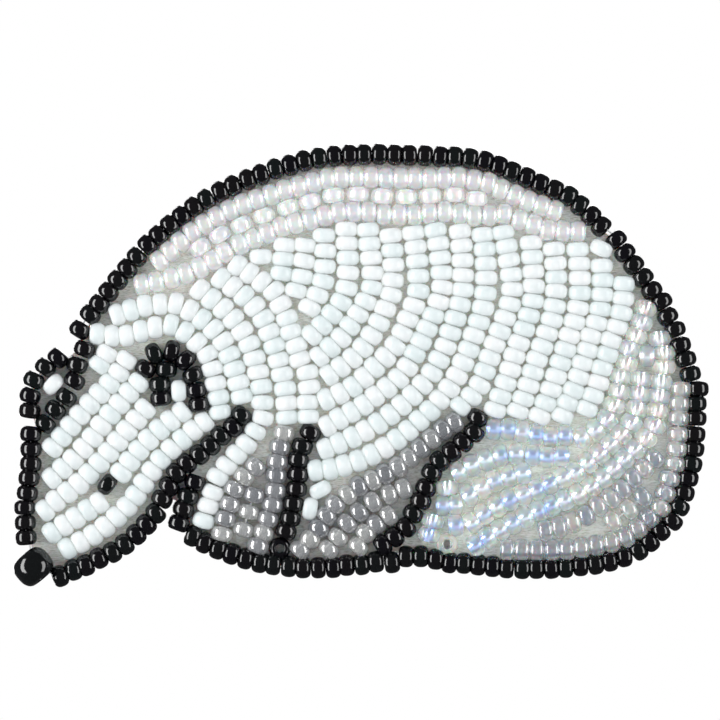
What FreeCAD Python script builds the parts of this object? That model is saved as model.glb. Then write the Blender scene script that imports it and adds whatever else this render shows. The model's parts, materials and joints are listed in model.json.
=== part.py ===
import FreeCAD, Part
import math
import os
from FreeCAD import Vector

# A flat brooch of bead embroidery: a white animal, facing left, drawn in strung seed beads
# on a felt shape, with a stiffener, a backing and a bar pin sewn on behind.
# Millimetres.  +X is to the viewer's right, +Z up, and the beads face -Y.
# The origin is on the axis of the brooch pin's stem, above the middle of the animal.

# ---- driving dimensions --------------------------------------------------------------
BEAD_D = 2.00            # size 10 seed bead across
BEAD_L = 1.40            # the longest seed beads, along the hole
BEAD_L_LEAST = 1.26      # crowded strands are strung with shorter ones
BEAD_HOLE_D = 0.85
BEAD_EDGE_R = 0.40       # fire-polished rounding of a bead's rims
NOSE_D = 3.55            # size 6 seed bead
NOSE_L = 2.75
NOSE_HOLE_D = 1.3
NOSE_EDGE_R = 1.0
BEAD_GAP = 0.03          # least clear space between two beads
THREAD_R = 0.08          # beading thread
THREAD_OFF_CENTRE = 0.28  # most that a thread leaves a hole away from its middle
STRAIGHT_COSINE = 0.94   # a strand is straight at a bead if it turns by less than this

CLOTH_T = 1.1            # felt that the beads are sewn to
STIFFENER_T = 0.5        # card between felt and backing
BACKING_T = 0.8          # faux-suede backing behind the card
EDGE_INSET = 0.3         # felt edge, inside the centre line of the outline beads
STIFFENER_INSET = 2.2    # card edge, inside the felt edge

PIN_AT = (2.0, 7.0)      # the pin's place on the drawing of the animal
BAR_L = 38.0             # 1 1/2 inch bar pin
BAR_W = 4.4
BAR_T = 0.7
BAR_HOLE_R = 0.9         # sewing holes
BAR_HOLES_X = (-9.0, 0.0, 9.0)
STEM_R = 0.4
STEM_HEIGHT = 2.8        # stem's axis behind the bar
HINGE_X = -16.0
TAPER_X = 13.0           # the stem's point starts here
TIP_X = 18.4
TIP_R = 0.08
BARREL_R = 0.95          # the stem's eye, which turns on the rivet
BARREL_L = 1.8
RIVET_R = 0.35
RIVET_CLEARANCE = 0.04
RIVET_HEAD_R = 0.75
RIVET_HEAD_T = 0.3
EAR_GAP = 0.05           # barrel to ear
EAR_T = 0.5
EAR_R = 0.9
CATCH_X = 15.5           # middle of the catch
CATCH_RING_IN = 0.65     # from the catch's middle to a ring's inner face
CATCH_RING_T = 0.85
CATCH_RING_R = 1.6
CATCH_MOUTH = 1.5
COLLAR_R = 1.05          # turning collar that locks the stem in
COLLAR_BORE_R = 0.62
COLLAR_SLOT = 1.0
COLLAR_CLEARANCE = 0.05
COLLAR_OVERHANG = 0.1
LEVER_ANGLE = -60.0      # from +Y, towards +Z
LEVER_REACH = 2.9
LEVER_T = 0.5
SADDLE_T = 0.5
STITCH_R = 0.18          # doubled thread that holds the bar
EDGE_STITCH_R = 0.12
EDGE_STITCH_PITCH = 3.0

# ---- depths, from the clothes side (+Y) to the bead side (-Y) ------------------------
BAR_BACK_Y = -STEM_HEIGHT
BACKING_Y = BAR_BACK_Y - BAR_T
CARD_Y = BACKING_Y - BACKING_T
CLOTH_Y = CARD_Y - STIFFENER_T
FACE_Y = CLOTH_Y - CLOTH_T
BEAD_LIFT = 0.02         # beads' clearance above the felt

# ---- the drawing -----------------------------------------------------------------------
# Each strand is a line of beads: how many, and a few points of the line that it follows,
# in mm from the middle of the animal.
OUTLINE = {
    "outline_back_beads": (41, [
        (-27.8, 3.5), (-24.3, 8.6), (-20.0, 13.3), (-15.0, 17.0), (-9.6, 19.3), (-4.1, 20.9),
        (1.9, 21.2), (8.0, 21.0), (12.5, 20.7), (16.7, 18.9), (21.1, 16.9), (24.4, 13.9)]),
    "outline_rump_beads": (24, [
        (26.0, 12.6), (28.6, 9.1), (31.1, 5.3), (33.0, 0.6), (34.0, -4.2), (34.0, -9.0),
        (32.8, -13.8), (31.0, -16.8), (28.2, -18.9)]),
    "outline_belly_beads": (31, [
        (26.6, -19.4), (22.4, -20.5), (18.1, -20.7), (15.0, -20.7), (11.0, -20.2), (6.9, -19.4),
        (4.0, -19.1), (0.4, -20.0), (-4.2, -20.6), (-8.7, -20.5), (-12.8, -19.4),
        (-16.9, -17.4)]),
    "outline_jaw_beads": (9, [
        (-20.5, -14.9), (-22.1, -17.1), (-24.6, -19.0), (-27.3, -20.1), (-30.0, -21.3)]),
    "outline_snout_beads": (8, [
        (-33.4, -17.4), (-33.6, -15.6), (-33.1, -11.6), (-32.9, -7.0)]),
}
EAR = [
    (6, [(-31.7, -6.0), (-30.0, -3.9), (-28.5, -1.4), (-28.4, 0.2), (-27.5, 1.4)]),
    (5, [(-32.8, -4.8), (-33.6, -3.3), (-32.9, -1.9), (-31.9, -0.4), (-30.1, 0.5)]),
]
FACE_PATCH = [
    (7, [(-21.5, 0.2), (-20.6, 1.3), (-19.0, 1.7), (-17.9, 0.6), (-16.9, -0.8), (-16.5, -2.3),
         (-16.3, -3.9)]),
    (2, [(-20.1, -3.4), (-20.1, -1.9)]),
    (1, [(-19.1, 0.0), (-19.1, -1.1)]),
]
INK_LINES = {
    "cheek_line_beads": [(9, [
        (-11.9, -4.9), (-13.7, -7.1), (-16.9, -9.9), (-19.1, -12.2), (-19.8, -13.6)])],
    "chest_line_beads": [(4, [(-16.4, -11.9), (-17.4, -13.3), (-17.9, -16.0)])],
    "foreleg_line_beads": [(8, [(-5.1, -6.7), (-6.0, -9.6), (-6.2, -12.5), (-7.3, -16.7)])],
    "haunch_line_beads": [(12, [
        (12.2, -5.6), (10.0, -8.4), (7.3, -10.7), (6.6, -13.4), (4.9, -15.9), (2.4, -18.2)])],
}
SINGLE_WHITES = [
    (1, [(-31.0, -1.3), (-30.2, -2.1)]),
    (1, [(-18.8, -2.7), (-17.8, -2.7)]),
    (1, [(-3.6, -13.2), (-4.2, -12.2)]),
    (1, [(-5.5, -14.7), (-4.5, -14.9)]),
]
STRIPE = {
    "stripe_outer_beads": [(30, [
        (-20.0, 10.2), (-18.3, 12.0), (-15.4, 14.1), (-12.0, 16.1), (-8.5, 17.0), (-4.7, 18.3),
        (-0.5, 18.9), (3.6, 18.6), (7.8, 18.7), (11.5, 18.6), (14.8, 17.3), (19.7, 15.2)])],
    "stripe_inner_beads": [(31, [
        (-21.8, 8.0), (-18.3, 8.8), (-14.6, 10.4), (-11.6, 12.1), (-7.6, 13.9), (-3.1, 15.0),
        (-0.5, 15.3), (3.4, 14.9), (7.7, 15.0), (11.6, 15.1), (16.2, 14.5), (19.3, 13.5),
        (22.0, 13.3)])],
}
STRIPE_MIDDLE = (13, [
    (-16.0, 11.6), (-11.5, 14.1), (-6.9, 15.6), (-2.3, 16.8), (2.6, 16.8), (7.4, 16.8),
    (12.0, 16.7)])
BODY_ROWS = [
    [(3, [(-7.4, 12.2), (-7.6, 10.6), (-7.6, 9.2)]),
     (4, [(-5.4, 11.9), (-5.4, 10.1), (-5.5, 8.6), (-6.3, 7.3)]),
     (6, [(-3.5, 12.9), (-3.2, 9.9), (-3.2, 8.2), (-5.0, 5.7)])],
    [(9, [(-1.3, 13.6), (-1.0, 9.3), (-1.1, 7.6), (-2.4, 5.0), (-4.8, 3.2)])],
    [(11, [(0.9, 13.1), (1.3, 10.3), (1.4, 7.6), (-0.1, 5.0), (-1.6, 2.8), (-3.7, 1.0)])],
    [(12, [(3.2, 12.9), (3.6, 9.9), (3.5, 7.2), (2.3, 4.5), (1.0, 1.9), (-1.0, 0.0),
           (-3.1, -1.0)])],
    [(15, [(5.5, 12.9), (6.0, 9.4), (6.0, 7.1), (4.9, 4.3), (3.8, 2.0), (2.0, 0.0),
           (-0.4, -2.3), (-3.0, -3.4)])],
    [(18, [(7.8, 13.2), (8.2, 10.4), (8.3, 7.6), (7.4, 4.8), (6.2, 2.2), (4.1, -1.2),
           (1.9, -3.1), (-0.6, -4.8), (-3.0, -6.0)])],
    [(20, [(10.1, 13.4), (10.6, 9.1), (10.4, 6.4), (9.4, 3.5), (7.9, -0.3), (6.1, -2.7),
           (4.0, -4.5), (1.2, -6.6), (-1.4, -7.8), (-3.5, -8.4)])],
    [(23, [(12.5, 12.9), (12.9, 8.7), (12.7, 6.0), (11.8, 3.4), (10.3, -0.4), (8.5, -3.4),
           (5.9, -5.9), (3.4, -8.0), (1.1, -9.3), (-1.4, -10.3), (-4.3, -10.5)])],
    [(14, [(14.7, 13.0), (15.2, 9.9), (15.1, 5.8), (14.0, 3.0), (12.6, -0.9), (10.5, -4.3)])],
    [(13, [(17.3, 12.0), (17.6, 8.7), (17.3, 5.1), (16.1, 2.4), (14.9, -1.5), (13.7, -4.5)])],
    [(13, [(19.6, 11.3), (19.9, 8.8), (19.5, 4.6), (18.0, 0.9), (17.1, -2.1), (16.0, -4.6)])],
    [(13, [(22.0, 11.3), (22.3, 7.3), (21.9, 4.5), (20.5, 1.0), (19.5, -2.2), (18.2, -5.1)])],
    [(12, [(24.4, 9.6), (24.6, 6.9), (24.0, 4.2), (22.8, 0.6), (21.8, -2.6), (20.5, -5.1)]),
     (1, [(24.1, 11.1), (24.6, 12.1)])],
    [(10, [(26.6, 8.0), (26.7, 5.6), (25.7, 2.7), (24.6, -0.5), (22.8, -4.5)])],
]
NECK_ROWS = [
    [(13, [(-5.0, -5.2), (-5.0, -2.3), (-5.6, 0.7), (-6.8, 3.6), (-8.0, 6.6), (-10.5, 9.0),
           (-11.9, 9.9)]),
     (1, [(-9.9, 10.2), (-9.9, 11.2)])],
    [(12, [(-7.2, -5.2), (-7.4, -2.3), (-8.1, 0.6), (-8.9, 3.4), (-10.3, 5.8), (-13.6, 8.5)])],
    [(19, [(-16.0, 7.5), (-13.4, 5.6), (-11.4, 3.4), (-10.2, 0.2), (-9.6, -2.6), (-9.5, -5.3),
           (-10.9, -7.9), (-13.3, -9.8), (-14.4, -11.9), (-15.6, -15.7)])],
    [(13, [(-11.8, -3.3), (-12.5, -0.3), (-13.6, 2.4), (-15.5, 4.5), (-18.1, 6.1),
           (-20.4, 6.2), (-22.4, 5.8), (-23.9, 4.7)])],
    [(13, [(-14.0, -4.8), (-14.3, -2.0), (-15.3, 0.9), (-17.0, 2.9), (-18.7, 3.9),
           (-21.3, 3.6), (-23.0, 2.6), (-24.4, 2.7), (-26.0, 3.1)]),
     (2, [(-25.1, 1.1), (-26.0, -0.3)])],
]
MUZZLE_ROWS = [
    [(9, [(-23.1, 0.2), (-25.0, -1.8), (-27.0, -3.9), (-30.8, -8.4)])],
    [(10, [(-22.1, -1.7), (-24.2, -3.9), (-26.6, -7.2), (-30.8, -11.4)])],
    [(11, [(-21.5, -4.5), (-23.4, -6.8), (-26.3, -10.2), (-28.3, -12.3), (-30.2, -13.4),
           (-31.5, -14.4)])],
    [(7, [(-17.8, -4.8), (-20.0, -6.4), (-22.2, -8.6), (-23.9, -10.9)]),
     (5, [(-26.0, -13.8), (-28.4, -15.4), (-30.9, -17.0)])],
    [(14, [(-15.5, -5.7), (-17.7, -7.5), (-20.7, -10.4), (-22.2, -13.1), (-25.1, -16.2),
           (-27.8, -18.0), (-29.2, -18.5)])],
]
LEG_AND_BELLY = {
    "foreleg_beads": [
        (9, [(-7.5, -6.9), (-8.4, -9.6), (-8.4, -12.4), (-9.4, -15.2), (-10.2, -18.3)]),
        (6, [(-10.4, -10.3), (-12.2, -11.7), (-13.2, -14.2), (-13.7, -17.2)]),
        (3, [(-10.6, -12.8), (-11.3, -14.8), (-11.6, -16.7)])],
    "belly_beads": [
        (15, [(9.9, -5.8), (7.3, -7.5), (4.2, -10.2), (1.5, -11.7), (-1.2, -12.9),
              (-3.4, -14.9), (-4.4, -16.9), (-5.8, -18.7)]),
        (7, [(4.5, -12.5), (3.4, -13.5), (1.2, -14.1), (-0.3, -15.0), (-1.6, -16.4),
             (-3.1, -19.0)]),
        (4, [(2.9, -15.0), (0.8, -17.0), (0.2, -18.6)])],
}
HAUNCH = {
    "haunch_upper_beads": [
        (17, [(13.8, -6.4), (17.0, -6.9), (22.0, -7.3), (24.4, -5.8), (26.2, -3.0),
              (27.2, 0.4), (27.9, 2.6), (29.0, 5.3)]),
        (1, [(27.9, 0.9), (28.9, 0.9)])],
    "haunch_inner_beads": [
        (8, [(9.6, -10.9), (12.7, -9.3), (15.2, -8.8), (17.6, -9.5), (20.5, -9.0)]),
        (5, [(11.2, -13.1), (13.0, -11.8), (16.4, -10.9)]),
        (1, [(8.9, -11.8), (8.9, -12.8)])],
    "haunch_middle_beads": [
        (17, [(28.5, -2.1), (27.9, -5.2), (26.0, -7.5), (22.3, -10.3), (19.4, -11.9),
              (16.2, -13.1), (13.9, -14.2), (11.5, -15.7)]),
        (2, [(8.5, -14.4), (9.7, -13.8)]),
        (2, [(7.2, -15.6), (7.1, -17.0)]),
        (1, [(9.4, -16.4), (10.2, -16.3)])],
    "haunch_lower_beads": [
        (22, [(11.7, -18.2), (15.8, -15.8), (19.6, -14.1), (22.4, -13.0), (25.5, -10.8),
              (28.2, -8.4), (29.8, -6.2), (30.3, -3.2), (30.5, 0.0), (30.4, 2.4)])],
    "rump_beads": [
        (20, [(31.9, -2.4), (32.2, -4.8), (32.0, -8.0), (31.3, -11.0), (30.6, -13.6),
              (28.9, -15.9), (26.5, -17.7), (23.6, -18.5), (20.0, -18.7), (14.8, -18.6)]),
        (10, [(29.8, -9.4), (26.7, -12.8), (23.1, -15.4), (18.7, -17.0)]),
        (3, [(28.9, -13.2), (27.2, -14.8), (25.2, -16.1)])],
}
UPRIGHT_BEADS = {            # beads that stand on end, with their holes facing the viewer
    "foreleg_line_beads": (-7.9, -18.3),
    "haunch_middle_beads": (9.0, -18.2),
}
EYE = [(1, [(-25.6, -11.7), (-24.8, -12.4)])]
NOSE = [(1, [(-33.0, -20.0), (-32.4, -20.7)])]
# corners of the felt that the outline rows don't reach, from the nose round the snout
SNOUT_CORNER = [(-31.9, -20.4), (-33.0, -19.2)]
CHIN_NOTCH = [(-17.9, -16.0), (-18.0, -14.6), (-19.2, -13.8)]
EAR_EDGE = [(-33.0, -5.6), (-33.6, -3.3), (-32.9, -1.9), (-31.9, -0.4), (-30.1, 0.5),
            (-28.4, 2.0)]


# ---- stringing the beads ---------------------------------------------------------------
class Bead:
    """A bead's place on the drawing, the way its hole runs, and its size."""

    def __init__(self, x, z, along, size=(BEAD_D, BEAD_L), upright=False):
        self.x = x
        self.z = z
        self.along = along
        self.length = size[1]
        self.radius = size[0] / 2
        self.half = size[0] / 2 if upright else size[1] / 2
        self.edge = BEAD_EDGE_R if not upright else size[0] / 2
        self.upright = upright
        self.home = (x, z)
        self.before = None
        self.after = None

    def reach(self, nx, nz):
        """How far the bead reaches from its centre towards (nx, nz)."""
        along = abs(nx * self.along[0] + nz * self.along[1])
        across = abs(nz * self.along[0] - nx * self.along[1])
        return (self.half - self.edge) * along + (self.radius - self.edge) * across + self.edge


def unit(x, z):
    length = math.hypot(x, z)
    return (x / length, z / length)


def line_through(points):
    curve = Part.BSplineCurve()
    curve.interpolate([Vector(x, 0, z) for x, z in points])
    return curve.toShape()


def bead_length(pitch):
    """Beads as long as their strand has room for, to the nearest 0.02 mm."""
    room = min(BEAD_L, max(BEAD_L_LEAST, pitch - BEAD_GAP))
    return round(room * 50) / 50


def string_beads(count, points, across=False, size=None):
    """Beads spread evenly along a line, with their holes along it, or across it."""
    line = line_through(points)
    if size is None:
        pitch = line.Length / (count - 1) if count > 1 and not across else BEAD_L + BEAD_GAP
        size = (BEAD_D, bead_length(pitch))
    beads = []
    for i in range(count):
        share = i / (count - 1) if count > 1 else 0.5
        at = line.getParameterByLength(line.Length * share)
        place = line.valueAt(at)
        tangent = line.tangentAt(at)
        along = unit(tangent.x, tangent.z)
        if across:
            along = (-along[1], along[0])
        beads.append(Bead(place.x, place.z, along, size))
    if not across:
        for first, second in zip(beads, beads[1:]):
            first.after = second
            second.before = first
    return beads


def turn_along_thread(bead):
    """A strung bead lines up with its neighbours, two on each side where the strand is straight."""
    if not (bead.before or bead.after):
        return
    back = bead.before or bead
    front = bead.after or bead
    near = unit(front.x - back.x, front.z - back.z)
    back = back.before or back
    front = front.after or front
    far = unit(front.x - back.x, front.z - back.z)
    bead.along = far if near[0] * far[0] + near[1] * far[1] > STRAIGHT_COSINE else near


def clear_space(a, b):
    """The clear space between two beads, and the direction from a to b that has it."""
    dx, dz = b.x - a.x, b.z - a.z
    ahead = math.atan2(dz, dx)
    tries = [ahead + math.radians(turn) for turn in (-45, -30, -15, 0, 15, 30, 45)]
    for bead in (a, b):
        tilt = math.atan2(bead.along[1], bead.along[0])
        tries += [tilt + quarter * math.pi / 2 for quarter in range(4)]
    best = None
    for angle in tries:
        nx, nz = math.cos(angle), math.sin(angle)
        space = dx * nx + dz * nz - a.reach(nx, nz) - b.reach(nx, nz)
        if best is None or space > best[0]:
            best = (space, nx, nz)
    return best


def neighbours(beads, distance):
    """Pairs of beads whose centres are near each other."""
    cells = {}
    for bead in beads:
        cells.setdefault((int(bead.x // distance), int(bead.z // distance)), []).append(bead)
    for (column, row), members in cells.items():
        for i, bead in enumerate(members):
            for other in members[i + 1:]:
                yield bead, other
            for step in ((1, -1), (1, 0), (1, 1), (0, 1)):
                for other in cells.get((column + step[0], row + step[1]), ()):
                    yield bead, other


def pull_back(bead, pull, straighten):
    """The stitches pull a bead to its drawn place, and the tight thread straightens its strand."""
    bead.x += pull * (bead.home[0] - bead.x)
    bead.z += pull * (bead.home[1] - bead.z)
    if bead.before and bead.after:
        bead.x += straighten * ((bead.before.x + bead.after.x) / 2 - bead.x)
        bead.z += straighten * ((bead.before.z + bead.after.z) / 2 - bead.z)


def settle(beads, rounds=500, held_rounds=160, pull=0.05, straighten=0.12):
    """Crowded beads push each other apart until every pair has its clear space."""
    for turn in range(rounds):
        held = turn < held_rounds
        if held:
            for bead in beads:
                pull_back(bead, pull, straighten)
        worst = BEAD_GAP
        for a, b in neighbours(beads, NOSE_D):
            if math.hypot(b.x - a.x, b.z - a.z) > a.radius + b.radius + BEAD_EDGE_R:
                continue
            space, nx, nz = clear_space(a, b)
            if space < BEAD_GAP:
                worst = min(worst, space)
                push = 0.55 * (BEAD_GAP - space)
                a.x -= push * nx
                a.z -= push * nz
                b.x += push * nx
                b.z += push * nz
        if worst > BEAD_GAP - 0.002 and not held:
            break
        for bead in beads:
            turn_along_thread(bead)
    return worst


# ---- solids -----------------------------------------------------------------------------
def placed(x, y, z):
    """A point of the drawing in the part's own frame."""
    return Vector(x - PIN_AT[0], y, z - PIN_AT[1])


def bead_solid(diameter, length, hole, edge):
    """A seed bead along Z, with a straight hole and rounded rims."""
    r, h, bore = diameter / 2, length / 2, hole / 2
    slant = edge * (1 - math.sqrt(0.5))
    corners = [
        Part.makeLine(Vector(bore, 0, -h), Vector(r - edge, 0, -h)),
        Part.Arc(Vector(r - edge, 0, -h), Vector(r - slant, 0, -h + slant),
                 Vector(r, 0, -h + edge)).toShape(),
        Part.makeLine(Vector(r, 0, -h + edge), Vector(r, 0, h - edge)),
        Part.Arc(Vector(r, 0, h - edge), Vector(r - slant, 0, h - slant),
                 Vector(r - edge, 0, h)).toShape(),
        Part.makeLine(Vector(r - edge, 0, h), Vector(bore, 0, h)),
        Part.makeLine(Vector(bore, 0, h), Vector(bore, 0, -h)),
    ]
    return Part.Face(Part.Wire(corners)).revolve(Vector(0, 0, 0), Vector(0, 0, 1), 360)


def stand_beads(beads, hole, edge):
    """A bead solid at each bead's place, resting on the felt."""
    templates = {}
    solids = []
    for bead in beads:
        size = (2 * bead.radius, bead.length)
        if size not in templates:
            templates[size] = bead_solid(*size, hole, edge)
        template = templates[size]
        depth = bead.length / 2 if bead.upright else bead.radius
        axis = Vector(0, 1, 0) if bead.upright else Vector(bead.along[0], 0, bead.along[1])
        turn = FreeCAD.Rotation(Vector(0, 0, 1), axis)
        place = FreeCAD.Placement(placed(bead.x, FACE_Y - BEAD_LIFT - depth, bead.z), turn)
        solids.append(template.transformed(place.toMatrix(), True))
    return solids


def tube(points, radius):
    """A thread along straight runs with mitred corners."""
    path = Part.makePolygon(points)
    start = Part.Wire(Part.makeCircle(radius, points[0], points[1] - points[0]))
    return path.makePipeShell([start], True, False, 1)


def off_centre(bead, other):
    """How far from its hole's middle the thread to another bead leaves a bead."""
    x, z = other.x - bead.x, other.z - bead.z
    along = abs(x * bead.along[0] + z * bead.along[1])
    across = abs(x * bead.along[1] - z * bead.along[0])
    return bead.half * across / max(along, BEAD_GAP)


def thread_runs(beads):
    """A strand cut where a bend is so tight that the thread dives through the felt instead."""
    runs = [beads[:1]]
    for bead, following in zip(beads, beads[1:]):
        if max(off_centre(bead, following), off_centre(following, bead)) > THREAD_OFF_CENTRE:
            runs.append([])
        runs[-1].append(following)
    return [run for run in runs if len(run) > 1]


def threads_through(rows):
    """The threads in the holes of strands, each from inside a first bead to inside a last."""
    depth = FACE_Y - BEAD_LIFT - BEAD_D / 2
    runs = [run for row in rows for run in thread_runs(row)]
    return [tube([placed(bead.x, depth, bead.z) for bead in run], THREAD_R) for run in runs]


def box(low, high):
    size = Vector(*high) - Vector(*low)
    return Part.makeBox(size.x, size.y, size.z, Vector(*low))


def cylinder_x(radius, x0, x1):
    return Part.makeCylinder(radius, x1 - x0, Vector(x0, 0, 0), Vector(1, 0, 0))


# ---- felt, card and backing -------------------------------------------------------------
def felt_edge(inset):
    """The closed line inside the outline beads, at a distance from their centre line."""
    corners = []
    for name in ("outline_back_beads", "outline_rump_beads", "outline_belly_beads"):
        corners += OUTLINE[name][1]
    corners += CHIN_NOTCH
    corners += OUTLINE["outline_jaw_beads"][1][:-1]
    corners += SNOUT_CORNER
    corners += OUTLINE["outline_snout_beads"][1]
    corners += EAR_EDGE
    curve = Part.BSplineCurve()
    curve.interpolate([placed(x, 0, z) for x, z in corners], True)
    edge = curve.toShape()
    inside = []
    steps = int(edge.Length / 1.5)
    for i in range(steps):
        at = edge.getParameterByLength(edge.Length * i / steps)
        tangent = edge.tangentAt(at)
        # the line runs clockwise, so its inside is on the right
        inward = Vector(tangent.z, 0, -tangent.x)
        inside.append(edge.valueAt(at) + inward * inset)
    curve = Part.BSplineCurve()
    curve.interpolate(inside, True)
    return curve.toShape()


def layer(edge, front, back):
    """A flat sheet with that edge, between two depths."""
    face = Part.Face(Part.Wire(edge))
    face.translate(Vector(0, front, 0))
    return face.extrude(Vector(0, back - front, 0))


def make_layers():
    edge = felt_edge(EDGE_INSET)
    cloth = layer(edge, FACE_Y, CLOTH_Y)
    card = layer(felt_edge(EDGE_INSET + STIFFENER_INSET), CLOTH_Y, CARD_Y)
    backing = layer(edge, CLOTH_Y, BACKING_Y).cut(card)
    return cloth, card, backing


def make_edge_stitches():
    """Stitches over the edge of the backing, one to about two outline beads."""
    edge = felt_edge(EDGE_INSET)
    count = int(edge.Length / EDGE_STITCH_PITCH)
    stitches = []
    for i in range(count):
        at = edge.getParameterByLength(edge.Length * (i + 0.5) / count)
        tangent = edge.tangentAt(at)
        inward = Vector(tangent.z, 0, -tangent.x)
        rim = edge.valueAt(at)
        inner = rim + inward * 0.9
        outer = rim - inward * (EDGE_STITCH_R + 0.03)
        over = BACKING_Y + EDGE_STITCH_R + 0.02
        stitches.append(tube([
            Vector(inner.x, BACKING_Y - 0.3, inner.z),
            Vector(inner.x, over, inner.z),
            Vector(outer.x, over, outer.z),
            Vector(outer.x, FACE_Y + 0.3, outer.z)], EDGE_STITCH_R))
    return stitches


# ---- bar pin ------------------------------------------------------------------------------
def make_bar():
    half_l, half_w = BAR_L / 2, BAR_W / 2
    bar = box((half_w - half_l, BACKING_Y, -half_w), (half_l - half_w, BAR_BACK_Y, half_w))
    for end in (half_w - half_l, half_l - half_w):
        bar = bar.fuse(Part.makeCylinder(half_w, BAR_T, Vector(end, BACKING_Y, 0),
                                         Vector(0, 1, 0)))
    for x in BAR_HOLES_X:
        bar = bar.cut(Part.makeCylinder(BAR_HOLE_R, BAR_T, Vector(x, BACKING_Y, 0),
                                        Vector(0, 1, 0)))
    inner = BARREL_L / 2 + EAR_GAP
    for z in (inner, -inner - EAR_T):
        ear = box((HINGE_X - EAR_R, BACKING_Y, z), (HINGE_X + EAR_R, 0, z + EAR_T))
        ear = ear.fuse(Part.makeCylinder(EAR_R, EAR_T, Vector(HINGE_X, 0, z), Vector(0, 0, 1)))
        bar = bar.fuse(ear)
    hole = Part.makeCylinder(RIVET_R, BAR_W, Vector(HINGE_X, 0, -half_w), Vector(0, 0, 1))
    return bar.cut(hole).removeSplitter()


def make_rivet():
    outer = BARREL_L / 2 + EAR_GAP + EAR_T
    axis = Vector(0, 0, 1)
    rivet = Part.makeCylinder(RIVET_R, 2 * outer, Vector(HINGE_X, 0, -outer), axis)
    for z in (outer, -outer - RIVET_HEAD_T):
        rivet = rivet.fuse(Part.makeCylinder(RIVET_HEAD_R, RIVET_HEAD_T,
                                             Vector(HINGE_X, 0, z), axis))
    return rivet.removeSplitter()


def make_stem():
    """The pointed wire, with the eye that turns on the rivet."""
    axis = Vector(0, 0, 1)
    foot = Vector(HINGE_X, 0, -BARREL_L / 2)
    stem = cylinder_x(STEM_R, HINGE_X, TAPER_X)
    stem = stem.fuse(Part.makeCylinder(BARREL_R, BARREL_L, foot, axis))
    stem = stem.fuse(Part.makeCone(STEM_R, TIP_R, TIP_X - TAPER_X, Vector(TAPER_X, 0, 0),
                                   Vector(1, 0, 0)))
    stem = stem.cut(Part.makeCylinder(RIVET_R + RIVET_CLEARANCE, BARREL_L, foot, axis))
    return stem.removeSplitter()


def make_catch_housing():
    """Two open rings on a saddle, which hold the turning collar."""
    bore = COLLAR_R + COLLAR_CLEARANCE
    inner, outer = CATCH_RING_IN, CATCH_RING_IN + CATCH_RING_T
    housing = box((CATCH_X - outer, BAR_BACK_Y, -CATCH_RING_R),
                  (CATCH_X + outer, BAR_BACK_Y + SADDLE_T, CATCH_RING_R))
    for x0, x1 in ((CATCH_X - outer, CATCH_X - inner), (CATCH_X + inner, CATCH_X + outer)):
        ring = cylinder_x(CATCH_RING_R, x0, x1)
        ring = ring.fuse(box((x0, BAR_BACK_Y, -CATCH_RING_R), (x1, 0, CATCH_RING_R)))
        ring = ring.cut(cylinder_x(bore, x0, x1))
        ring = ring.cut(box((x0, 0, -CATCH_MOUTH / 2), (x1, CATCH_RING_R, CATCH_MOUTH / 2)))
        housing = housing.fuse(ring)
    return housing.removeSplitter()


def make_catch_collar():
    """A slotted tube with a lever: turned half round, it shuts the rings' mouths."""
    reach = CATCH_RING_IN + CATCH_RING_T + COLLAR_OVERHANG
    collar = cylinder_x(COLLAR_R, CATCH_X - reach, CATCH_X + reach)
    side = CATCH_RING_IN - COLLAR_CLEARANCE
    lever = box((CATCH_X - side, COLLAR_BORE_R + 0.1, -LEVER_T / 2),
                (CATCH_X + side, LEVER_REACH, LEVER_T / 2))
    lever.rotate(Vector(0, 0, 0), Vector(1, 0, 0), LEVER_ANGLE)
    collar = collar.fuse(lever)
    collar = collar.cut(cylinder_x(COLLAR_BORE_R, CATCH_X - reach, CATCH_X + reach))
    collar = collar.cut(box((CATCH_X - reach, 0, -COLLAR_SLOT / 2),
                            (CATCH_X + reach, COLLAR_R, COLLAR_SLOT / 2)))
    return collar.removeSplitter()


def make_bar_stitches():
    """Loops of thread from each sewing hole over the bar's two edges."""
    over = BAR_BACK_Y + STITCH_R + 0.02
    under = BACKING_Y - 0.4
    stitches = []
    for x in BAR_HOLES_X:
        for side in (-1, 1):
            for step in (-1, 0, 1):
                near = Vector(x + 0.4 * step, 0, side * 0.3)
                far = Vector(x + 0.5 * step, 0, side * (BAR_W / 2 + STITCH_R + 0.05))
                stitches.append(tube([
                    Vector(near.x, under, near.z), Vector(near.x, over, near.z),
                    Vector(far.x, over, far.z), Vector(far.x, under, far.z)], STITCH_R))
    return stitches


# ---- assembly -------------------------------------------------------------------------------
def string_everything():
    """Every strand of beads, by the node that it belongs to."""
    nodes = {name: [string_beads(*strand)] for name, strand in OUTLINE.items()}
    groups = [INK_LINES, STRIPE, LEG_AND_BELLY, HAUNCH,
              {"ear_beads": EAR, "face_patch_beads": FACE_PATCH,
               "single_white_beads": SINGLE_WHITES, "eye_bead": EYE}]
    for prefix, rows in (("body_row", BODY_ROWS), ("neck_row", NECK_ROWS),
                         ("muzzle_row", MUZZLE_ROWS)):
        groups.append({f"{prefix}_{i + 1:02d}_beads": row for i, row in enumerate(rows)})
    for group in groups:
        for name, strands in group.items():
            nodes[name] = [string_beads(*strand) for strand in strands]
    nodes["stripe_middle_beads"] = [string_beads(*STRIPE_MIDDLE, across=True)]
    for name, (x, z) in UPRIGHT_BEADS.items():
        nodes[name].append([Bead(x, z, (1.0, 0.0), upright=True)])
    nodes["nose_bead"] = [string_beads(*NOSE[0], size=(NOSE_D, NOSE_L))]
    return nodes


def export(name, solids):
    shape = solids[0] if len(solids) == 1 else Part.makeCompound(solids)
    shape.exportStep(os.path.join("parts", name + ".step"))
    print(f"{name:24s} {len(solids):4d} solids  {shape.Volume:9.2f} mm3")


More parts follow.
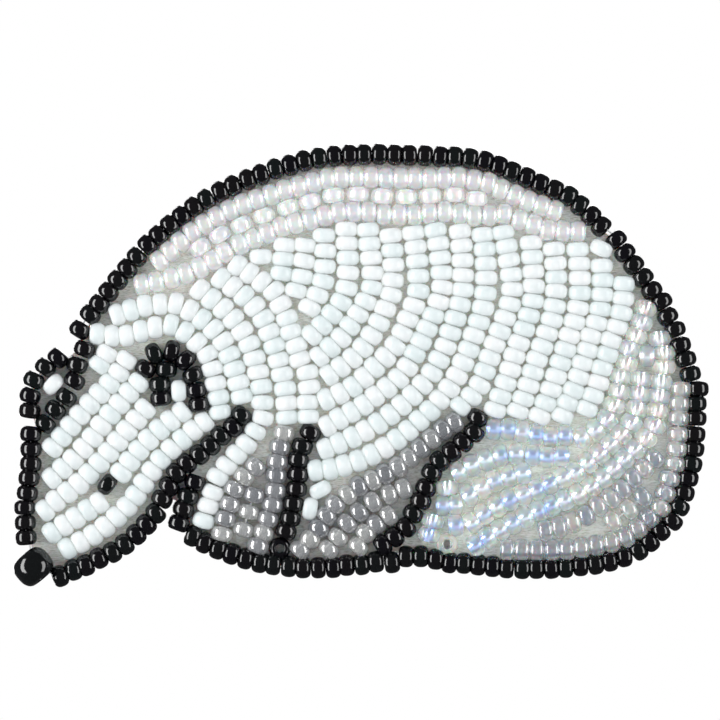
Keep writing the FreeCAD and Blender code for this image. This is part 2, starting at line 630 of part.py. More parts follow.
def main():
    os.makedirs("parts", exist_ok=True)
    strands = string_everything()
    every_bead = [bead for rows in strands.values() for row in rows for bead in row]
    for bead in every_bead:
        turn_along_thread(bead)
    worst = settle(every_bead)
    print(f"{len(every_bead)} beads, least clear space {worst:.4f} mm")

    for name, rows in strands.items():
        beads = [bead for row in rows for bead in row]
        if name == "nose_bead":
            export(name, stand_beads(beads, NOSE_HOLE_D, NOSE_EDGE_R))
        else:
            export(name, stand_beads(beads, BEAD_HOLE_D, BEAD_EDGE_R))
    outline = [row for name in OUTLINE for row in strands[name]]
    export("outline_thread", threads_through(outline))
    inner = [row for name, rows in strands.items() if name not in OUTLINE for row in rows]
    export("beading_thread", threads_through(row for row in inner if row[0].after))

    cloth, card, backing = make_layers()
    export("embroidery_felt", [cloth])
    export("stiffener_card", [card])
    export("backing", [backing])
    export("edge_stitches", make_edge_stitches())

    export("pin_bar", [make_bar()])
    export("hinge_rivet", [make_rivet()])
    export("pin_stem", [make_stem()])
    export("catch_housing", [make_catch_housing()])
    export("catch_collar", [make_catch_collar()])
    export("bar_stitches", make_bar_stitches())


main()
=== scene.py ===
import json
import math
import random

import bpy
import numpy as np
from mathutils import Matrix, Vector


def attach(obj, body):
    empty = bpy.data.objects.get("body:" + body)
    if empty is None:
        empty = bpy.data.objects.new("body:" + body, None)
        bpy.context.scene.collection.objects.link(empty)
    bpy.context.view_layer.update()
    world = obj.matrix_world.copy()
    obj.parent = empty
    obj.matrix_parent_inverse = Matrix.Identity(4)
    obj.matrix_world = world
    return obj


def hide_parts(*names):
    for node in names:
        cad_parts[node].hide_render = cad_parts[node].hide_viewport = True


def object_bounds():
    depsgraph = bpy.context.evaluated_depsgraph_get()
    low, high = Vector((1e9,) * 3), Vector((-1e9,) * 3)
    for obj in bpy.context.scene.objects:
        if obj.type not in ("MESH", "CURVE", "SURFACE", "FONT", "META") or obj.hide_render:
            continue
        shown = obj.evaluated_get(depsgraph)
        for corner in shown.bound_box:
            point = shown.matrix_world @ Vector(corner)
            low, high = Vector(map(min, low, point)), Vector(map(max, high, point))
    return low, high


# A bead-embroidered brooch: glass seed beads strung in rows on felt, with a suede backing and
# a bar pin.  Metres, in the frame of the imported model: the beads face -Y, the pin is at +Y.

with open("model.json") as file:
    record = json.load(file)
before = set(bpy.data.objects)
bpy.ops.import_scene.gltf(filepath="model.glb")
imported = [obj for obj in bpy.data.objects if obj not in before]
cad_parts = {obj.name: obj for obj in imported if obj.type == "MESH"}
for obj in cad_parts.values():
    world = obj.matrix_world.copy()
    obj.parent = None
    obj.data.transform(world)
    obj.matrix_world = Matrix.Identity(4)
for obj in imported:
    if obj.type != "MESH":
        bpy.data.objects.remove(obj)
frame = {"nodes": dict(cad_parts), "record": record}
cad_low, cad_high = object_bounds()
NODES = frame["nodes"]
SLOT_OF = {row["node"]: row["material_slot"] for row in frame["record"]["subparts"]}
MM = 0.001
WELD = 1e-6                # CAD corners nearer than this are one point
BACK = Vector((0, 1, 0))   # from the beads to the pin
chance = random.Random(11)


# ---- where the beads are: read from the frame ---------------------------------------------
def solids_of(node):
    """The node's separate solids, each as (points, triangles)."""
    mesh = NODES[node].data
    points = np.empty(len(mesh.vertices) * 3)
    mesh.vertices.foreach_get("co", points)
    points = points.reshape(-1, 3)
    mesh.calc_loop_triangles()
    triangles = np.empty(len(mesh.loop_triangles) * 3, int)
    mesh.loop_triangles.foreach_get("vertices", triangles)
    keys = np.round(points / WELD).astype(np.int64)
    _, first, index = np.unique(keys, axis=0, return_index=True, return_inverse=True)
    points = points[first]
    triangles = index.ravel()[triangles].reshape(-1, 3)
    # points joined by triangles come to share the lowest label among them
    label = np.arange(len(points))
    while True:
        lowest = label[triangles].min(axis=1)
        before = label.copy()
        for corner in range(3):
            np.minimum.at(label, triangles[:, corner], lowest)
        label = label[label]
        if (label == before).all():
            break
    owner = label[triangles[:, 0]]
    for solid in np.unique(owner):
        yield points, triangles[owner == solid]


class Bead:
    """A bead's centre, its hole's direction, its radius and half its length."""

    def __init__(self, points, triangles):
        corners = points[triangles]
        low = corners.reshape(-1, 3).min(axis=0)
        high = corners.reshape(-1, 3).max(axis=0)
        normals = np.cross(corners[:, 1] - corners[:, 0], corners[:, 2] - corners[:, 0])
        area = np.linalg.norm(normals, axis=1)
        area[area == 0] = 1
        spread = (normals / area[:, None]).T @ normals
        self.centre = (low + high) / 2
        # the least area looks along the hole
        self.axis = np.linalg.eigh((spread + spread.T) / 2)[1][:, 0]
        out = corners.reshape(-1, 3) - self.centre
        along = out @ self.axis
        self.half = along.max()
        self.radius = np.linalg.norm(out - np.outer(along, self.axis), axis=1).max()


def beads_of(node):
    return [Bead(points, triangles) for points, triangles in solids_of(node)]


# ---- mesh helpers -------------------------------------------------------------------------
def new_piece(name, out, material, slot):
    """An object on the brooch's body from the points and faces gathered in out."""
    mesh = bpy.data.meshes.new(name)
    mesh.from_pydata(out["points"], [], out["faces"])
    mesh.polygons.foreach_set("use_smooth", [True] * len(mesh.polygons))
    mesh.materials.append(MATERIALS[material])
    piece = bpy.data.objects.new(name, mesh)
    bpy.context.scene.collection.objects.link(piece)
    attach(piece, "brooch")
    return piece


def ring_faces(start, rings, around, closed):
    """Quads between neighbouring rings of points, and from the last to the first if closed."""
    faces = []
    for i in range(rings if closed else rings - 1):
        here, there = start + i * around, start + (i + 1) % rings * around
        for j in range(around):
            k = (j + 1) % around
            faces.append((here + j, here + k, there + k, there + j))
    return faces


# ---- beads --------------------------------------------------------------------------------
AROUND = 26                # facets round a bead
SHOULDER_STEPS = 6         # facets over a bead's rounded shoulder
HOLE = 0.40                # hole radius, as a share of the bead's
SHOULDER = 0.46            # how far the shoulder comes in, as a share of the radius
STRAIGHT = 0.16            # share of the bead's length where its side is straight
LIP = 0.10                 # width of the bevel at the hole's edge, as a share of the radius
LIP_CORNER = 0.3           # where the bevel's middle corner lies, as a share of its width
FATTER = {                 # a bead's radius over the CAD bead's, so that neighbours touch
    "white_glass": 1.16, "ab_glass": 1.15, "opal_glass": 1.16,
    "pearl_glass": 1.15, "grey_lustre_glass": 1.13, "black_glass": 1.10,
}
LONGER = 1.08              # its length over the CAD bead's
MOVED_BACK = 0.6           # share of the added radius by which a bead moves back
RADIUS_SPREAD = (0.985, 1.01)
LENGTH_SPREAD = (0.97, 1.02)
WOBBLE = 4.0               # degrees: twice the spread of a bead's tilt each way
BLACK_WOBBLE = 7.0
SHIFT = 0.004              # spread of a bead's shift each way, in mm for a degree of wobble
TUCKED = {                 # how far some rim rows sit in and back from their CAD places
    "outline_belly_beads": (0.22 * MM, 0.25 * MM),
    "outline_rump_beads": (0.30 * MM, 0.30 * MM),
    "outline_back_beads": (0.10 * MM, 0.12 * MM),
}
LEAST_SIDE = 0.1           # below this an axis is taken to lie along Y
LINING_ROOM = 0.03         # lining's radius over the hole's, as a share of the bead's
LINING_LENGTH = 0.9        # lining's length over the CAD bead's
LINING_WALL = 0.04 * MM


def bead_profile(radius, half):
    """The section of a fire-polished bead, as (distance from the axis, place along it)."""
    bore = radius * HOLE
    straight = STRAIGHT * half
    outer = []
    for i in range(SHOULDER_STEPS + 1):
        turn = i / SHOULDER_STEPS * math.pi / 2
        outer.append((radius * (1 - SHOULDER) + radius * SHOULDER * math.cos(turn),
                      straight + (half - straight) * math.sin(turn)))
    lip = LIP * radius
    inner = [(bore + lip, half), (bore + LIP_CORNER * lip, half - LIP_CORNER * lip),
             (bore, half - lip)]
    one_end = outer + inner
    other_end = [(r, -s) for r, s in reversed(one_end)]
    return one_end + other_end


def revolve(profile, tint, centre, axis, out):
    """Adds the profile, turned round the axis, to out."""
    side = axis.cross(BACK)
    if side.length < LEAST_SIDE:
        side = Vector((1, 0, 0))
    side.normalize()
    up = axis.cross(side)
    start = len(out["points"])
    for r, s in profile:
        for j in range(AROUND):
            turn = 2 * math.pi * j / AROUND
            way = side * math.cos(turn) + up * math.sin(turn)
            out["points"].append(centre + axis * s + way * r)
    out["faces"] += ring_faces(start, len(profile), AROUND, closed=True)
    out["tint"] += [tint] * (len(profile) * AROUND)


def make_beads(node):
    """One piece with a rounded glass bead for each bead of the node, each a little askew."""
    slot = SLOT_OF[node]
    wobble = BLACK_WOBBLE if slot == "black_glass" else WOBBLE
    tucked_in, tucked_back = TUCKED.get(node, (0.0, 0.0))
    out = {"points": [], "faces": [], "tint": []}
    middle = (cad_low + cad_high) / 2
    fatter = FATTER[slot]
    for bead in beads_of(node):
        centre = Vector(bead.centre)
        axis = Vector(bead.axis)
        inward = axis.cross(BACK)
        if inward.dot(middle - centre) < 0:
            inward.negate()
        centre += inward * tucked_in + BACK * tucked_back
        centre += Vector([chance.gauss(0, SHIFT * wobble) * MM for _ in range(3)])
        centre.y += MOVED_BACK * (fatter - 1) * bead.radius
        tilt = Vector([chance.gauss(0, 1) for _ in range(3)])
        axis = (axis + tilt * math.radians(wobble) / 2).normalized()
        radius = bead.radius * fatter * chance.uniform(*RADIUS_SPREAD)
        half = bead.half * LONGER * chance.uniform(*LENGTH_SPREAD)
        revolve(bead_profile(radius, half), chance.random(), centre, axis, out)
    piece = new_piece(node + "_glass", out, slot, slot)
    tint = piece.data.attributes.new("tint", "FLOAT", "POINT")
    tint.data.foreach_set("value", out["tint"])
    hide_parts(node)


def make_lining(node):
    """The silvered walls of the holes, which show through the glass."""
    out = {"points": [], "faces": [], "tint": []}
    for bead in beads_of(node):
        radius = bead.radius * (HOLE + LINING_ROOM)
        half = bead.half * LINING_LENGTH
        inside = radius - LINING_WALL
        profile = [(radius, -half), (radius, half), (inside, half), (inside, -half)]
        revolve(profile, 0.5, Vector(bead.centre), Vector(bead.axis), out)
    new_piece(node + "_lining", out, "silver_lining", SLOT_OF[node])


# ---- materials ----------------------------------------------------------------------------
# Inputs and output of a colour Mix node; its float and vector sockets have the same names.
MIX_SHARE, MIX_A, MIX_B, MIX_RESULT = 0, 6, 7, 2


class Nodes:
    """A material's nodes, added and joined by name."""

    def __init__(self, name):
        self.material = bpy.data.materials.new(name)
        self.material.use_nodes = True
        self.tree = self.material.node_tree
        self.shader = self.tree.nodes["Principled BSDF"]
        self.output = self.tree.nodes["Material Output"]

    def add(self, kind, **values):
        node = self.tree.nodes.new(kind)
        for key, value in values.items():
            if hasattr(node, key):
                setattr(node, key, value)
            else:
                node.inputs[key.replace("_", " ")].default_value = value
        return node

    def join(self, source, target):
        self.tree.links.new(source, target)

    def set(self, **values):
        for key, value in values.items():
            self.shader.inputs[key.replace("_", " ")].default_value = value

    def colour(self, source):
        self.join(source, self.shader.inputs["Base Color"])

    def place(self):
        return self.add("ShaderNodeTexCoord").outputs["Object"]

    def drawn_out(self, share, turn=0.0):
        """Coordinates that draw a noise out along X; each turn, in degrees, gives another."""
        mapped = self.add("ShaderNodeMapping", Rotation=(0.0, math.radians(turn), 0.0),
                          Scale=(share, 1.0, 1.0))
        self.join(self.place(), mapped.inputs["Vector"])
        return mapped.outputs["Vector"]

    def ramp(self, source, stops):
        """A colour ramp over a value."""
        node = self.add("ShaderNodeValToRGB")
        elements = node.color_ramp.elements
        while len(elements) < len(stops):
            elements.new(0.5)
        for element, (at, colour) in zip(elements, stops):
            element.position = at
            element.color = (*colour, 1.0)
        self.join(source, node.inputs["Fac"])
        return node.outputs["Color"]

    def noise(self, scale, detail=2.0, roughness=0.5, vector=None):
        """Noise over the object, with its scale in blobs per millimetre."""
        if vector is None:
            vector = self.place()
        node = self.add("ShaderNodeTexNoise", Scale=scale / MM, Detail=detail,
                        Roughness=roughness)
        self.join(vector, node.inputs["Vector"])
        return node.outputs["Fac"]

    def bump(self, height, strength, depth):
        """Bump of a depth in millimetres."""
        node = self.add("ShaderNodeBump", Strength=strength, Distance=depth * MM)
        self.join(height, node.inputs["Height"])
        self.join(node.outputs["Normal"], self.shader.inputs["Normal"])

    def tint(self):
        """The value between 0 and 1 that each bead was given."""
        return self.add("ShaderNodeAttribute", attribute_name="tint").outputs["Fac"]

    def clear_to_shadows(self, colour):
        """Light reaches what lies behind the glass, tinted by it."""
        clear = self.add("ShaderNodeBsdfTransparent")
        clear.inputs["Color"].default_value = (*colour, 1.0)
        mixed = self.add("ShaderNodeMixShader")
        path = self.add("ShaderNodeLightPath")
        self.join(path.outputs["Is Shadow Ray"], mixed.inputs["Fac"])
        self.join(self.shader.outputs["BSDF"], mixed.inputs[1])
        self.join(clear.outputs["BSDF"], mixed.inputs[2])
        self.join(mixed.outputs["Shader"], self.output.inputs["Surface"])


def mix_colours(m, a, b, share, kind="MIX"):
    node = m.add("ShaderNodeMix", data_type="RGBA", blend_type=kind)
    for value, socket in ((a, MIX_A), (b, MIX_B)):
        m.join(value, node.inputs[socket])
    if isinstance(share, bpy.types.NodeSocket):
        m.join(share, node.inputs[MIX_SHARE])
    else:
        node.inputs[MIX_SHARE].default_value = share
    return node.outputs[MIX_RESULT]


def black_glass():
    m = Nodes("black_glass")
    m.colour(m.ramp(m.tint(), [(0.0, (0.0020, 0.0018, 0.0030)), (0.5, (0.0035, 0.0030, 0.0035)),
                               (1.0, (0.0030, 0.0045, 0.0045))]))
    m.set(Roughness=0.10, IOR=1.54)
    m.bump(m.noise(1.3), strength=0.25, depth=0.05)
    return m.material


def white_glass():
    m = Nodes("white_glass")
    shade = m.ramp(m.tint(), [(0.0, (0.57, 0.60, 0.59)), (0.4, (0.605, 0.62, 0.61)),
                              (1.0, (0.635, 0.63, 0.62))])
    cloud = m.ramp(m.noise(0.9), [(0.35, (0.92, 0.945, 0.945)), (0.65, (1.0, 1.0, 1.0))])
    m.colour(mix_colours(m, shade, cloud, 1.0, "MULTIPLY"))
    m.set(Roughness=0.24, IOR=1.5, Subsurface_Weight=0.6, Subsurface_Scale=0.7 * MM,
          Subsurface_Radius=(1.0, 1.0, 0.95))
    m.bump(m.noise(1.1), strength=0.2, depth=0.04)
    m.clear_to_shadows((0.80, 0.81, 0.80))
    return m.material


def ab_glass():
    """Crystal beads with a rainbow coat: pale, with pink, blue and green in the gloss."""
    m = Nodes("ab_glass")
    m.colour(m.ramp(m.tint(), [(0.0, (0.88, 0.90, 0.94)), (0.25, (0.93, 0.91, 0.92)),
                               (0.5, (0.93, 0.94, 0.94)), (0.75, (0.89, 0.93, 0.91)),
                               (1.0, (0.96, 0.96, 0.95))]))
    m.set(Roughness=0.10, IOR=1.5, Transmission_Weight=0.66, Subsurface_Weight=0.7,
          Subsurface_Scale=0.5 * MM, Thin_Film_Thickness=420.0, Thin_Film_IOR=1.42,
          Coat_Weight=1.0, Coat_IOR=2.0, Coat_Roughness=0.2)
    m.bump(m.noise(1.2), strength=0.25, depth=0.05)
    m.clear_to_shadows((0.7, 0.7, 0.7))
    return m.material


def grey_lustre_glass():
    m = Nodes("grey_lustre_glass")
    m.colour(m.ramp(m.tint(), [(0.0, (0.32, 0.33, 0.35)), (0.5, (0.50, 0.50, 0.51)),
                               (1.0, (0.66, 0.66, 0.64))]))
    m.set(Roughness=0.20, IOR=1.6, Metallic=0.22, Transmission_Weight=0.62, Coat_Weight=1.0,
          Coat_IOR=1.8, Coat_Roughness=0.16)
    m.bump(m.noise(1.2), strength=0.3, depth=0.05)
    m.clear_to_shadows((0.5, 0.5, 0.5))
    return m.material


def opal_glass():
    """Milky silver-lined glass."""
    m = Nodes("opal_glass")
    m.colour(m.ramp(m.tint(), [(0.0, (0.80, 0.88, 0.93)), (0.5, (0.85, 0.90, 0.89)),
                               (1.0, (0.91, 0.92, 0.87))]))
    m.set(Roughness=0.04, IOR=1.46, Transmission_Weight=0.80, Subsurface_Weight=0.9,
          Subsurface_Scale=0.5 * MM)
    m.bump(m.noise(1.2), strength=0.2, depth=0.04)
    m.clear_to_shadows((0.88, 0.90, 0.88))
    return m.material


def pearl_glass():
    m = Nodes("pearl_glass")
    m.colour(m.ramp(m.tint(), [(0.0, (0.55, 0.58, 0.64)), (0.5, (0.72, 0.73, 0.74)),
                               (1.0, (0.82, 0.82, 0.79))]))
    m.set(Roughness=0.10, IOR=1.52, Transmission_Weight=0.80, Subsurface_Weight=0.8,
          Subsurface_Scale=0.5 * MM, Coat_Weight=1.0, Coat_IOR=1.9, Coat_Roughness=0.18)
    m.bump(m.noise(1.2), strength=0.2, depth=0.04)
    m.clear_to_shadows((0.7, 0.72, 0.72))
    return m.material


def silver_lining():
    """Silvering that looks blue in the haunch and rosy white up the rump."""
    m = Nodes("silver_lining")
    blue = m.ramp(m.noise(0.5), [(0.46, (0.36, 0.48, 0.90)), (0.59, (0.90, 0.93, 1.0))])
    rosy = m.ramp(m.noise(0.5), [(0.40, (1.0, 0.84, 0.88)), (0.58, (1.0, 0.98, 0.97))])
    place = m.add("ShaderNodeSeparateXYZ")
    m.join(m.place(), place.inputs["Vector"])
    share = m.add("ShaderNodeMapRange", From_Min=18.0 * MM, From_Max=23.5 * MM)
    m.join(place.outputs["X"], share.inputs["Value"])
    m.colour(mix_colours(m, blue, rosy, share.outputs["Result"]))
    m.set(Roughness=0.30, Metallic=1.0)
    return m.material


def felt():
    """Pressed wool and viscose fibres, pale, with painted shade in darker strokes between them."""
    m = Nodes("felt")
    strokes_and_painted_shade = None
    for turn in (25.0, 85.0, 150.0):
        streaks = m.noise(11.0, 3.0, 0.6, m.drawn_out(0.13, turn))
        if strokes_and_painted_shade is None:
            strokes_and_painted_shade = streaks
            continue
        least = m.add("ShaderNodeMath", operation="MINIMUM")
        m.join(strokes_and_painted_shade, least.inputs[0])
        m.join(streaks, least.inputs[1])
        strokes_and_painted_shade = least.outputs[0]
    # painted shade: the strokes are darkest between the fibres, where their bump is lowest
    m.colour(m.ramp(strokes_and_painted_shade, [(0.26, (0.34, 0.33, 0.27)), (0.38, (0.72, 0.69, 0.62)),
                              (0.50, (0.95, 0.93, 0.89))]))
    m.set(Roughness=0.95, Sheen_Weight=0.4, Sheen_Roughness=0.5, Subsurface_Weight=0.3,
          Subsurface_Scale=0.8 * MM)
    m.bump(strokes_and_painted_shade, strength=1.0, depth=0.15)
    return m.material


def fibre_hair():
    m = Nodes("fibre_hair")
    m.colour(m.ramp(m.noise(2.0), [(0.35, (0.55, 0.53, 0.46)), (0.6, (0.96, 0.95, 0.92))]))
    m.set(Roughness=0.6, Sheen_Weight=0.3)
    return m.material


def suede():
    """Fine nap, with broad patches a little darker and cooler."""
    m = Nodes("suede")
    nap = m.noise(5.0, 8.0, 0.7)
    fine = m.ramp(nap, [(0.3, (0.30, 0.275, 0.24)), (0.7, (0.50, 0.465, 0.42))])
    broad = m.ramp(m.noise(0.18, 3.0, 0.6), [(0.35, (0.86, 0.86, 0.88)), (0.65, (1.0, 1.0, 1.0))])
    m.colour(mix_colours(m, fine, broad, 1.0, "MULTIPLY"))
    m.set(Roughness=0.92, Sheen_Weight=0.4, Sheen_Roughness=0.4)
    m.bump(nap, strength=0.6, depth=0.06)
    return m.material


def thread_material(name, colour):
    """Twisted thread: slanting bands, with painted shade in the grooves between the plies."""
    m = Nodes(name)
    ply = m.add("ShaderNodeTexWave", bands_direction="DIAGONAL", Scale=0.9 / MM, Distortion=1.2,
                Detail=2.0, Detail_Scale=4.0 / MM)
    m.join(m.place(), ply.inputs["Vector"])
    # painted shade: the grooves between the plies, where the bump is lowest, are darkened
    painted_groove_shade = tuple(0.66 * c for c in colour)
    m.colour(m.ramp(ply.outputs["Fac"], [(0.1, painted_groove_shade), (0.6, colour)]))
    m.set(Roughness=0.55, Sheen_Weight=0.3)
    m.bump(ply.outputs["Fac"], strength=0.6, depth=0.04)
    return m.material


def card():
    m = Nodes("card")
    pulp = m.noise(3.0, 5.0, 0.6)
    m.colour(m.ramp(pulp, [(0.3, (0.55, 0.53, 0.48)), (0.7, (0.74, 0.72, 0.66))]))
    m.set(Roughness=0.9)
    m.bump(pulp, strength=0.3, depth=0.03)
    return m.material


def nickel_steel():
    """Nickel plate with fine rolling marks along X and a little dulling."""
    m = Nodes("nickel_steel")
    marks = m.noise(14.0, 4.0, 0.6, m.drawn_out(0.06))
    dull = m.noise(0.5, 3.0, 0.6)
    m.colour(m.ramp(dull, [(0.35, (0.70, 0.68, 0.63)), (0.65, (0.84, 0.83, 0.80))]))
    rough = m.add("ShaderNodeMapRange", To_Min=0.24, To_Max=0.50)
    m.join(marks, rough.inputs["Value"])
    m.join(rough.outputs["Result"], m.shader.inputs["Roughness"])
    m.set(Metallic=1.0)
    m.bump(marks, strength=0.12, depth=0.02)
    return m.material


MATERIALS = {make.__name__: make() for make in (
    black_glass, white_glass, ab_glass, grey_lustre_glass, opal_glass, pearl_glass, felt, suede,
    fibre_hair, card, nickel_steel, silver_lining)}
MATERIALS["thread"] = thread_material("thread", (0.80, 0.80, 0.78))
MATERIALS["sewing_thread"] = thread_material("sewing_thread", (0.72, 0.71, 0.68))


# ---- the beadwork -------------------------------------------------------------------------
for node in sorted(NODES):
    if node.endswith(("beads", "bead")):
        make_beads(node)
        if SLOT_OF[node] == "opal_glass":
            make_lining(node)


# ---- what stays as CAD made it, with better materials -------------------------------------
BEVELS = {                 # width of the rounding of each sharp-edged node's edges, in mm
    "backing": 0.28, "stiffener_card": 0.05, "pin_bar": 0.09,
    "catch_housing": 0.08, "catch_collar": 0.05, "hinge_rivet": 0.04,
}
BEVEL_STEPS = 3
SHARP = math.radians(35.0)  # edges that turn less than this stay as they are

for node in ("outline_thread", "beading_thread", "stiffener_card", "pin_bar", "hinge_rivet",
             "pin_stem", "catch_housing", "catch_collar", "embroidery_felt", "backing",
             "edge_stitches", "bar_stitches"):
    mesh = NODES[node].data
    mesh.materials.clear()
    mesh.materials.append(MATERIALS[SLOT_OF[node]])

for node, width in BEVELS.items():
    weld = NODES[node].modifiers.new("weld", "WELD")
    weld.merge_threshold = WELD
    bevel = NODES[node].modifiers.new("bevel", "BEVEL")
    bevel.width = width * MM
    bevel.segments = BEVEL_STEPS
    bevel.limit_method = "ANGLE"
    bevel.angle_limit = SHARP
    bevel.harden_normals = True


# ---- felt fibres --------------------------------------------------------------------------
FIBRES = 6500
FIBRE_SIDES = 3
FIBRE_STEPS = 3
MOST_BEND = 1.6            # radians from one end to the other
HUMP_START, HUMP_SPAN = 0.15, 0.7   # what part of half a wave a fibre's rise follows
FIBRE_LIFT = (0.02, 0.16)  # in mm, as are the next two
FIBRE_LENGTH = (0.5, 1.5)
FIBRE_RADIUS = (0.010, 0.020)
FLATNESS = 0.01 * MM       # corners this near the felt's front are on its face


def fibre(start, heading, lift, length, radius, out):
    """A short bent fibre that lies on the felt's face, its middle lifted."""
    bend = chance.uniform(-MOST_BEND, MOST_BEND)
    first = len(out["points"])
    place = start.copy()
    for i in range(FIBRE_STEPS + 1):
        share = i / FIBRE_STEPS
        turn = heading + bend * share
        way = Vector((math.cos(turn), 0, math.sin(turn)))
        side = Vector((-way.z, 0, way.x))
        rise = lift * math.sin(math.pi * (HUMP_START + HUMP_SPAN * share))
        middle = place - BACK * rise
        for j in range(FIBRE_SIDES):
            a = 2 * math.pi * j / FIBRE_SIDES
            out["points"].append(middle + radius * (side * math.cos(a) + BACK * math.sin(a)))
        place += way * length / FIBRE_STEPS
    out["faces"] += ring_faces(first, FIBRE_STEPS + 1, FIBRE_SIDES, closed=False)


def make_fibres():
    """Loose fibres over the felt's face, which shows at the eye, the muzzle and between beads."""
    points, triangles = next(solids_of("embroidery_felt"))
    face = points[:, 1].min()
    corners = points[triangles]
    flat = corners[np.abs(corners[:, :, 1] - face).max(axis=1) < FLATNESS]
    cross = np.cross(flat[:, 1] - flat[:, 0], flat[:, 2] - flat[:, 0])
    area = np.linalg.norm(cross, axis=1)
    some = np.random.default_rng(5)
    out = {"points": [], "faces": []}
    for i in some.choice(len(flat), FIBRES, p=area / area.sum()):
        corner, second, third = flat[i]
        a, b = some.random(2)
        if a + b > 1:
            a, b = 1 - a, 1 - b
        start = Vector(corner + a * (second - corner) + b * (third - corner))
        fibre(start, some.uniform(0, 2 * math.pi), some.uniform(*FIBRE_LIFT) * MM,
              some.uniform(*FIBRE_LENGTH) * MM, some.uniform(*FIBRE_RADIUS) * MM, out)
    new_piece("felt_fibres", out, "fibre_hair", "felt")


make_fibres()


# ---- threads that show at the gaps of the rim ---------------------------------------------
THREAD_SIDES = 8
THREAD_STEPS = 8
THREAD_RADIUS = 0.085 * MM


def centres_of(node):
    """The centres of a node's beads, lowest X first."""
    return sorted((Vector(bead.centre) for bead in beads_of(node)), key=lambda c: c.x)


def hanging(a, b, sag):
    """Points from a to b that bow by sag towards the felt."""
    return [a.lerp(b, i / THREAD_STEPS) + BACK * (sag * math.sin(math.pi * i / THREAD_STEPS))
            for i in range(THREAD_STEPS + 1)]


def tube(run, out):
    """Adds a thread through the run's points to out."""
    first = len(out["points"])
    last = len(run) - 1
    for i, point in enumerate(run):
        way = (run[min(i + 1, last)] - run[max(i - 1, 0)]).normalized()
        side = way.cross(BACK).normalized()
        up = way.cross(side)
        for j in range(THREAD_SIDES):
            a = 2 * math.pi * j / THREAD_SIDES
            turned = side * math.cos(a) + up * math.sin(a)
            out["points"].append(point + THREAD_RADIUS * turned)
    out["faces"] += ring_faces(first, len(run), THREAD_SIDES, closed=False)
    out["faces"].append(tuple(first + j for j in reversed(range(THREAD_SIDES))))
    out["faces"].append(tuple(first + THREAD_SIDES * last + j for j in range(THREAD_SIDES)))


def make_loose_threads():
    """One thread from the back row to the rump, two from the nose to the jaw, one to the snout."""
    end_of_back = centres_of("outline_back_beads")[-1]
    top_of_rump = max(centres_of("outline_rump_beads"), key=lambda c: c.z)
    snout = min(centres_of("outline_snout_beads"), key=lambda c: c.z)
    jaw, nose = centres_of("outline_jaw_beads")[0], centres_of("nose_bead")[0]
    out = {"points": [], "faces": []}
    tube(hanging(end_of_back, top_of_rump, 0.15 * MM), out)
    tube(hanging(nose, jaw, 0.1 * MM), out)
    tube(hanging(nose + Vector((0, 0.4, 0)) * MM, jaw + Vector((0, 0.3, 0.35)) * MM, -0.1 * MM),
         out)
    tube(hanging(nose, snout + Vector((0.2, 0.2, 0)) * MM, 0.1 * MM), out)
    new_piece("loose_threads", out, "thread", "thread")


make_loose_threads()


# ---- studio -------------------------------------------------------------------------------
AMBIENT = 0.90             # the surround's strength, but for gloss and the camera
AMBIENT_COLOUR = (0.86, 0.93, 1.0, 1.0)
GLOSSY_SURROUND = 0.07     # its strength in gloss
SEEN_SURROUND = 1.0        # its strength as the camera sees it
WHITE = (1.0, 1.0, 1.0, 1.0)
VIEW_WIDTH = 72.0 * MM     # what the picture's width holds at the beads
CAMERA_AWAY = 0.60
NEAREST_SEEN = 0.01
SENSOR = 36.0
LOOKED_AT = Vector((-1.9 * MM, 0, -6.6 * MM))
LIGHTS = (                 # name, degrees round from the camera, height, distance, size, power
    ("strip_left", -60, 0.02, 0.5, (0.19, 0.62), 3.7),
    ("strip_right", 60, 0.02, 0.5, (0.19, 0.62), 2.3),
    ("back_left", 168, 0.22, 0.45, (0.26, 0.26), 1.0),
    ("back_right", -155, 0.10, 0.45, (0.10, 0.40), 0.7),
)
FLOOR_RADIUS = 0.22
FLOOR_BELOW = 0.03
FLOOR_EDGES = 96


def area_light(name, place, size, power):
    light = bpy.data.lights.new(name, "AREA")
    light.shape = "RECTANGLE"
    light.size, light.size_y = size
    light.energy = power
    lamp = bpy.data.objects.new(name, light)
    lamp.location = place
    lamp.rotation_euler = (LOOKED_AT - place).to_track_quat("-Z", "Y").to_euler()
    bpy.context.scene.collection.objects.link(lamp)


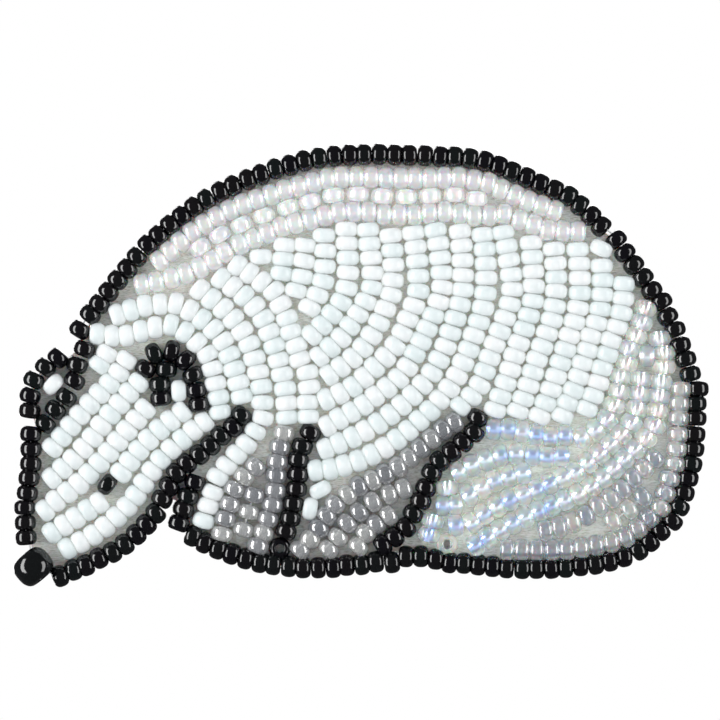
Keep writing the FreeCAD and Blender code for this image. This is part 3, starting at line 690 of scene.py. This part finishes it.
def make_camera():
    data = bpy.data.cameras.new("camera")
    data.sensor_width = SENSOR
    data.lens = SENSOR * CAMERA_AWAY / VIEW_WIDTH
    data.clip_start = NEAREST_SEEN
    camera = bpy.data.objects.new("camera", data)
    camera.location = LOOKED_AT + Vector((0, cad_low.y - CAMERA_AWAY, 0))
    camera.rotation_euler = (math.pi / 2, 0, 0)
    bpy.context.scene.collection.objects.link(camera)
    bpy.context.scene.camera = camera


def make_lights():
    """Two strip boxes beside the camera, two soft boxes behind, and a surround seen as white."""
    for name, turn, rise, reach, size, power in LIGHTS:
        a = math.radians(turn)
        place = LOOKED_AT + Vector((math.sin(a) * reach, -math.cos(a) * reach, rise))
        area_light(name, place, size, power)
    world = bpy.data.worlds.new("studio")
    bpy.context.scene.world = world
    world.use_nodes = True
    tree = world.node_tree
    path = tree.nodes.new("ShaderNodeLightPath")
    shader = tree.nodes["Background"]
    shader.inputs["Color"].default_value = AMBIENT_COLOUR
    shader.inputs["Strength"].default_value = AMBIENT
    for ray, strength in (("Is Glossy Ray", GLOSSY_SURROUND), ("Is Camera Ray", SEEN_SURROUND)):
        other = tree.nodes.new("ShaderNodeBackground")
        other.inputs["Color"].default_value = WHITE
        other.inputs["Strength"].default_value = strength
        either = tree.nodes.new("ShaderNodeMixShader")
        tree.links.new(path.outputs[ray], either.inputs["Fac"])
        tree.links.new(shader.outputs[0], either.inputs[1])
        tree.links.new(other.outputs[0], either.inputs[2])
        shader = either
    tree.links.new(shader.outputs[0], tree.nodes["World Output"].inputs["Surface"])


def make_floor():
    """A pale round table well below the brooch."""
    bpy.ops.mesh.primitive_circle_add(vertices=FLOOR_EDGES, radius=FLOOR_RADIUS, fill_type="NGON",
                                      location=(0, 0, cad_low.z - FLOOR_BELOW))
    floor = bpy.context.object
    floor.name = "floor"
    m = Nodes("floor")
    m.set(Base_Color=(0.82, 0.82, 0.82, 1.0), Roughness=0.8)
    floor.data.materials.append(m.material)
    floor.visible_glossy = False


make_camera()
make_lights()
make_floor()
bpy.context.scene.view_settings.view_transform = "Standard"
